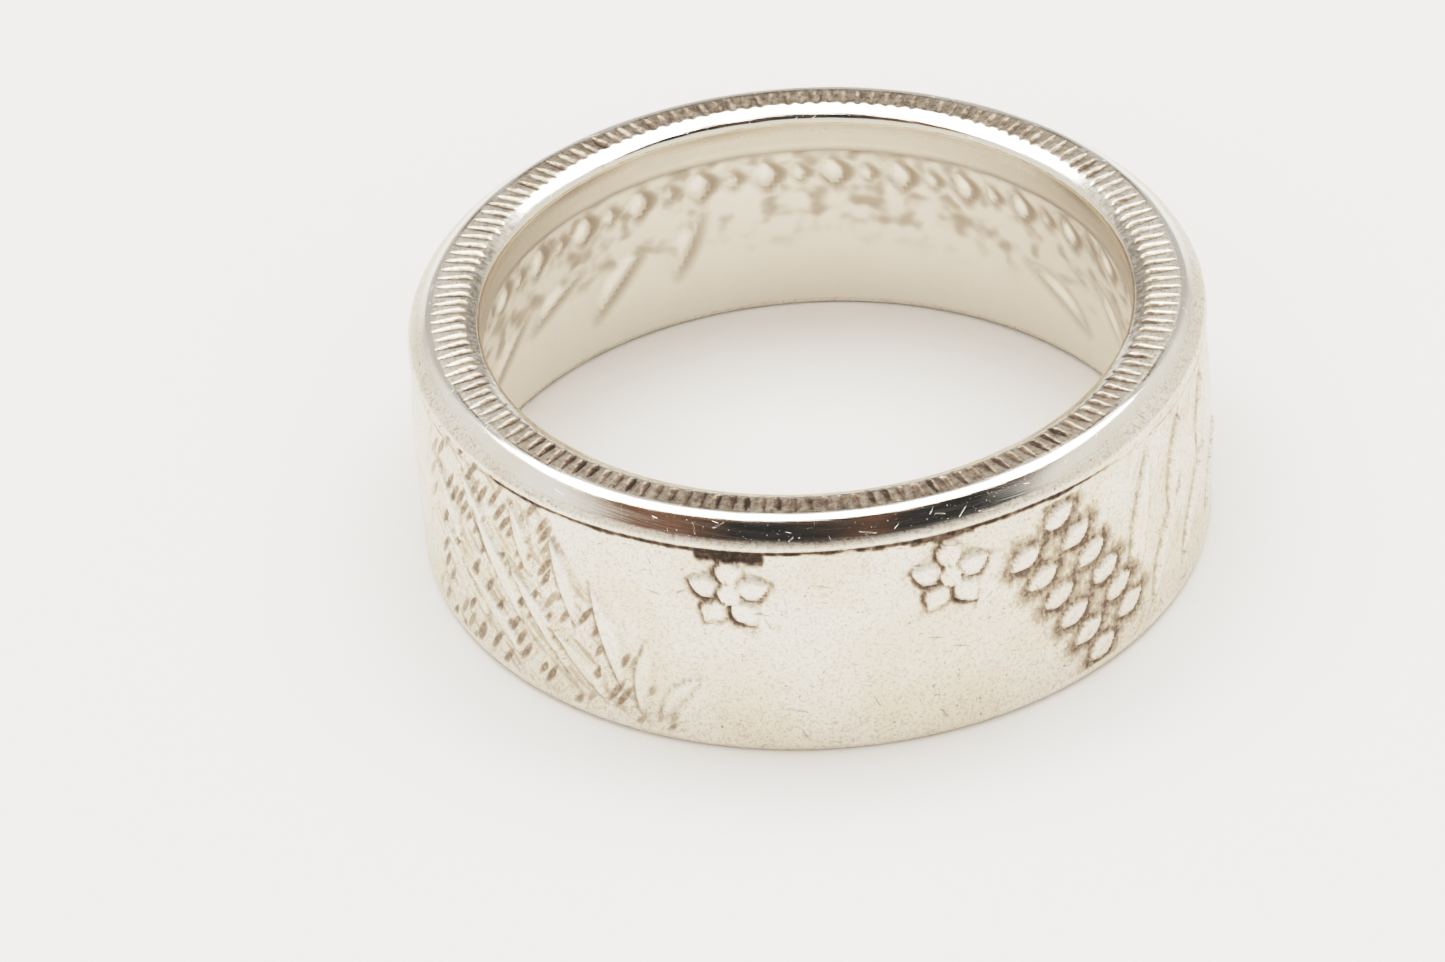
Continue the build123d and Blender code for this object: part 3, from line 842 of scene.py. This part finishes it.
def silver():
    """Worn silver: satin walls with grain, specks and scratches, polished rolls, patina in the hollows, and
    painted shade carried with the patina in the skin's attribute.
    """
    material = bpy.data.materials.new("silver_with_patina_and_painted_shade")
    g = Graph(material)
    where = g.add("ShaderNodeTexCoord").outputs["Object"]
    in_mm = g.add("ShaderNodeVectorMath", {"operation": "SCALE"}, _0=where, Scale=1 / MM).outputs[0]
    unrolled = g.add("ShaderNodeUVMap", {"uv_map": "round_and_course"}).outputs[0]
    patina_and_shade, polish, busy, inside = (g.attribute(name) for name in ("patina_and_shade", "polish", "busy", "inside"))
    rest = g.math("SUBTRACT", 1.0, polish)
    outside = g.math("SUBTRACT", 1.0, inside)
    outer_busy = g.times(busy, outside)
    outer_rest = g.times(rest, outside)

    grain = g.noise(in_mm, *GRAIN)
    fine = g.noise(in_mm, *FINE)
    cloud = g.noise(in_mm, *CLOUD)
    ragged = g.noise(in_mm, *RAGS)
    streaks = g.noise(g.stretched(unrolled, *STREAKS_RUN), *STREAKS)

    # Fine lens-shaped pits and engraved lines in the busy ground
    pits = None
    for run in PIT_RUNS:
        cells = g.add("ShaderNodeTexVoronoi", {"voronoi_dimensions": "2D"}, Scale=1.0,
                      Vector=g.stretched(unrolled, *run))
        chance = g.add("ShaderNodeSeparateColor", None, _0=cells.outputs["Color"]).outputs[0]
        pit = g.times(g.between(cells.outputs["Distance"], *PIT_EDGE), g.between(chance, *PIT_CHANCE))
        pits = pit if pits is None else g.math("MAXIMUM", pits, g.times(pit, SECOND_PITS))
    pits = g.times(pits, outer_busy)
    bends = g.noise(g.stretched(unrolled, *BENDS_RUN), *BENDS)
    lines = g.between(g.math("PINGPONG", g.times(bends, LINES_A_BEND), HALF_LINE), *LINE_EDGE)
    lines = g.times(lines, outer_busy)

    # Patina with painted shade from the skin: ragged and streaked in the hollows, in soft clouds on the
    # inner wall, and in pits and lines
    torn = g.times(g.math("SUBTRACT", ragged, 0.5), g.times(outside, TORN))
    streaked = g.times(g.math("SUBTRACT", streaks, 0.5), g.times(outside, STREAKED))
    tarnish_and_shade = g.math("ADD", g.math("ADD", patina_and_shade, torn), streaked)
    tarnish_and_shade = g.times(g.between(tarnish_and_shade, 0.0, 1.0), g.between(patina_and_shade, *PATINA_EDGE))
    clouds = g.between(g.noise(in_mm, *SOFT_CLOUDS), *SOFT_CLOUDS_EDGE)
    clouds = g.times(g.times(clouds, busy), g.times(inside, SOFT_CLOUDS_DARK))
    tarnish_and_shade = g.math("MAXIMUM", tarnish_and_shade, clouds)
    tarnish_and_shade = g.math("MAXIMUM", tarnish_and_shade, g.times(pits, g.between(ragged, *PITS_DARK)))
    tarnish_and_shade = g.math("MAXIMUM", tarnish_and_shade, g.times(lines, LINES_DARK))

    # Colour: silver, warmer inside and on the satin walls, then mottle, freckles, specks, and patina with
    # painted shade
    colour = g.mix(g.between(cloud, *WARM_EDGE), SILVER, WARM_SILVER)
    colour = g.mix(g.times(inside, WARM_INSIDE), colour, WARM_SILVER)
    colour = g.mix(g.times(outer_rest, g.between(cloud, *SATIN_TINT)), colour, SATIN_SILVER)
    mottle = g.times(g.between(grain, *MOTTLE_EDGE), g.times(outer_rest, MOTTLE))
    colour = g.mix(mottle, colour, TAN)
    freckle = g.times(g.between(fine, *FRECKLE_EDGE), g.times(outer_rest, FRECKLE))
    colour = g.mix(freckle, colour, TAN)
    specks = g.times(g.between(g.noise(in_mm, *SPOTS), *SPECK_EDGE), g.between(grain, *SPECK_GRAIN))
    colour = g.mix(g.times(specks, g.times(outer_rest, SPECKS)), colour, BROWN)
    for start, full, patina_and_shade_colour in PATINA_AND_SHADE_COLOURS:
        colour = g.mix(g.between(tarnish_and_shade, start, full), colour, patina_and_shade_colour)

    scratches = None
    for run in SCRATCH_RUNS:
        scratch = g.between(g.noise(g.stretched(unrolled, *run), *SCRATCH), *SCRATCH_EDGE)
        scratches = scratch if scratches is None else g.math("MAXIMUM", scratches, scratch)
    colour = g.mix(g.times(scratches, g.times(outer_rest, SCRATCHES)), colour, BROWN)
    brushed = g.noise(g.stretched(unrolled, *BRUSHED_RUN), *BRUSHED)
    flecks = g.between(g.noise(g.stretched(unrolled, *FLECKS_RUN), *FLECKS), *FLECK_EDGE)

    satin = g.math("ADD", g.between(grain, *SATIN_ROUGH), g.times(tarnish_and_shade, WORN_ROUGH))
    bright = g.between(brushed, *BRIGHT_ROUGH)
    rough = g.add("ShaderNodeMix", {"data_type": "FLOAT"}, _0=polish, _2=satin, _3=bright).outputs[0]

    bumps = g.times(g.math("ADD", grain, g.times(fine, FINE_BUMP)), rest)
    bumps = g.math("ADD", bumps, g.times(g.times(brushed, polish), BRUSHED_BUMP))
    bumps = g.math("ADD", bumps, g.times(g.times(flecks, polish), FLECK_BUMP))
    bumps = g.math("SUBTRACT", bumps, g.times(scratches, SCRATCH_BUMP))
    bumps = g.math("SUBTRACT", bumps, g.times(pits, PIT_BUMP))
    bumps = g.math("SUBTRACT", bumps, lines)
    bump = g.add("ShaderNodeBump", None, Strength=BUMP_STRENGTH, Distance=BUMP_HIGH * MM, Height=bumps)

    shader = g.add("ShaderNodeBsdfPrincipled", None, Base_Color=colour, Metallic=1.0, Roughness=rough)
    g.tree.links.new(bump.outputs[0], shader.inputs["Normal"])
    g.surface(shader)
    return material


def ring():
    """The ring's skin, which stands for the solid."""
    band = bpy.data.objects.new("ring_band_skin", skin())
    bpy.context.scene.collection.objects.link(band)
    band.data.materials.append(silver())
    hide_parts("ring_band")
    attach(band, "root")


FLOOR_SIZE = 1.6
FLOOR_DROP = 0.002 * MM
FLOOR_COLOUR = (0.82, 0.80, 0.775, 1)
FLOOR_ROUGH, FLOOR_SHEEN = 0.8, 0.2


def floor():
    """A plain pale floor."""
    half = FLOOR_SIZE / 2
    mesh = bpy.data.meshes.new("floor")
    corners = [(-half, -half, 0), (half, -half, 0), (half, half, 0), (-half, half, 0)]
    mesh.from_pydata(corners, [], [(0, 1, 2, 3)])
    plane = bpy.data.objects.new("floor", mesh)
    plane.location.z = -FLOOR_DROP
    bpy.context.scene.collection.objects.link(plane)
    material = bpy.data.materials.new("pale_floor")
    g = Graph(material)
    shader = g.add("ShaderNodeBsdfPrincipled", None, Base_Color=FLOOR_COLOUR, Roughness=FLOOR_ROUGH)
    shader.inputs["Specular IOR Level"].default_value = FLOOR_SHEEN
    g.surface(shader)
    mesh.materials.append(material)


# Light: a wide soft box above the back half, pale surroundings that are grey at the back, and a dark patch
# above the front, where the camera stands
SOFT_BOX = (0.48, 0.22)
SOFT_BOX_AT = (0.0, 0.089, 0.30)
SOFT_BOX_WATTS = 0.86
FILL = (0.50, 0.30)  # a second soft box, at the front, which gives no reflections
FILL_AT = (0.0, -0.22, 0.27)
FILL_WATTS = 0.66
# The photograph's tones, with highlights that roll off: scene value and shown value
TONES = [(0.10, 0.11), (0.25, 0.33), (0.45, 0.58), (0.65, 0.735), (0.85, 0.81), (1.1, 0.87), (1.5, 0.95)]
TONE_WHITE = 2.0
NEAR_WALLS = (0.66, 0.65, 0.63)
BACK_WALL = (0.42, 0.415, 0.41)
HORIZON = (0.82, 0.81, 0.795)
HIGH_WALLS = (0.60, 0.60, 0.59)
PATCH_DARK = (0.030, 0.030, 0.030)
PATCH_BROWN = (0.17, 0.095, 0.06)
PATCH_SHADES, PATCH_SHADES_EDGE = (3.2, 2.0, 0.5), (0.46, 0.60)
# Fades between them: angles round from the front, or above level
PATCH_SIDE = (106, 74)
PATCH_LOW = (42, 53)
BACK_FADE = (130, 146)
HIGH_FADE = (44, 52)
HORIZON_FADE = (8, 3)
LAMP_COLOUR = (1.0, 0.99, 0.97)


def soft_box(name, size, place, watts):
    """A soft box that faces down."""
    lamp = bpy.data.lights.new(name, "AREA")
    lamp.shape = "RECTANGLE"
    lamp.size, lamp.size_y = size
    lamp.energy = watts
    lamp.color = LAMP_COLOUR
    box = bpy.data.objects.new(name, lamp)
    box.location = place
    bpy.context.scene.collection.objects.link(box)
    return box


def lights():
    """The soft box above the ring, and the fill turned towards it."""
    soft_box("soft_box", SOFT_BOX, SOFT_BOX_AT, SOFT_BOX_WATTS)
    fill = soft_box("fill", FILL, FILL_AT, FILL_WATTS)
    fill.rotation_euler.x = math.atan2(-FILL_AT[1], FILL_AT[2])
    fill.visible_glossy = False


def tones():
    """The photograph's tone curve."""
    view = bpy.context.scene.view_settings
    view.view_transform = "Standard"
    view.use_curve_mapping = True
    view.curve_mapping.white_level = (TONE_WHITE, TONE_WHITE, TONE_WHITE)
    for scene_value, shown in TONES:
        view.curve_mapping.curves[3].points.new(scene_value / TONE_WHITE, shown)
    view.curve_mapping.update()


def world():
    """The studio round the ring, by the angle above level and the angle round from the front."""
    studio = bpy.data.worlds.new("studio")
    bpy.context.scene.world = studio
    g = Graph(studio)
    way = g.add("ShaderNodeTexCoord").outputs["Generated"]
    x, y, z = g.add("ShaderNodeSeparateXYZ", None, _0=way).outputs
    up = g.times(g.math("ARCSINE", z), 180 / math.pi)
    front = g.math("ARCTAN2", x, g.times(y, -1.0))
    aside = g.times(g.math("ABSOLUTE", front), 180 / math.pi)
    walls = g.mix(g.between(aside, *BACK_FADE), NEAR_WALLS, BACK_WALL)
    walls = g.mix(g.between(up, *HIGH_FADE), walls, HIGH_WALLS)
    walls = g.mix(g.between(up, *HORIZON_FADE), walls, HORIZON)
    shades = g.noise(way, *PATCH_SHADES)
    patch = g.mix(g.between(shades, *PATCH_SHADES_EDGE), PATCH_DARK, PATCH_BROWN)
    inside = g.times(g.between(aside, *PATCH_SIDE), g.between(up, *PATCH_LOW))
    colour = g.mix(inside, walls, patch)
    back = g.add("ShaderNodeBackground", None, Color=colour, Strength=1.0)
    g.surface(back, "ShaderNodeOutputWorld")


# Camera, found by fitting the crown's circles: it looks at the crown's centre, then turns by small angles
CAMERA_DISTANCE = 0.19934
CAMERA_ELEVATION = 34.716
CAMERA_YAW = -0.8241
CAMERA_PITCH = 1.6268
CAMERA_ROLL = 3.3773
CAMERA_LENS = 161.93
CAMERA_SENSOR = 36
CAMERA_NEAR = 0.01


def camera():
    """The photograph's camera."""
    e = math.radians(CAMERA_ELEVATION)
    away = Vector((0, -math.cos(e), math.sin(e)))
    right = Vector((1, 0, 0))
    looks = Matrix((right, away.cross(right), away))
    for angle, axis in ((CAMERA_YAW, "Y"), (CAMERA_PITCH, "X"), (CAMERA_ROLL, "Z")):
        looks = Matrix.Rotation(math.radians(angle), 3, axis) @ looks
    data = bpy.data.cameras.new("camera")
    data.sensor_width = CAMERA_SENSOR
    data.lens = CAMERA_LENS
    data.clip_start = CAMERA_NEAR
    eye = bpy.data.objects.new("camera", data)
    stand = away * CAMERA_DISTANCE + Vector((0, 0, HEIGHT * MM))
    eye.matrix_world = Matrix.Translation(stand) @ looks.transposed().to_4x4()
    bpy.context.scene.collection.objects.link(eye)
    bpy.context.scene.camera = eye


camera()
ring()
floor()
lights()
world()
tones()
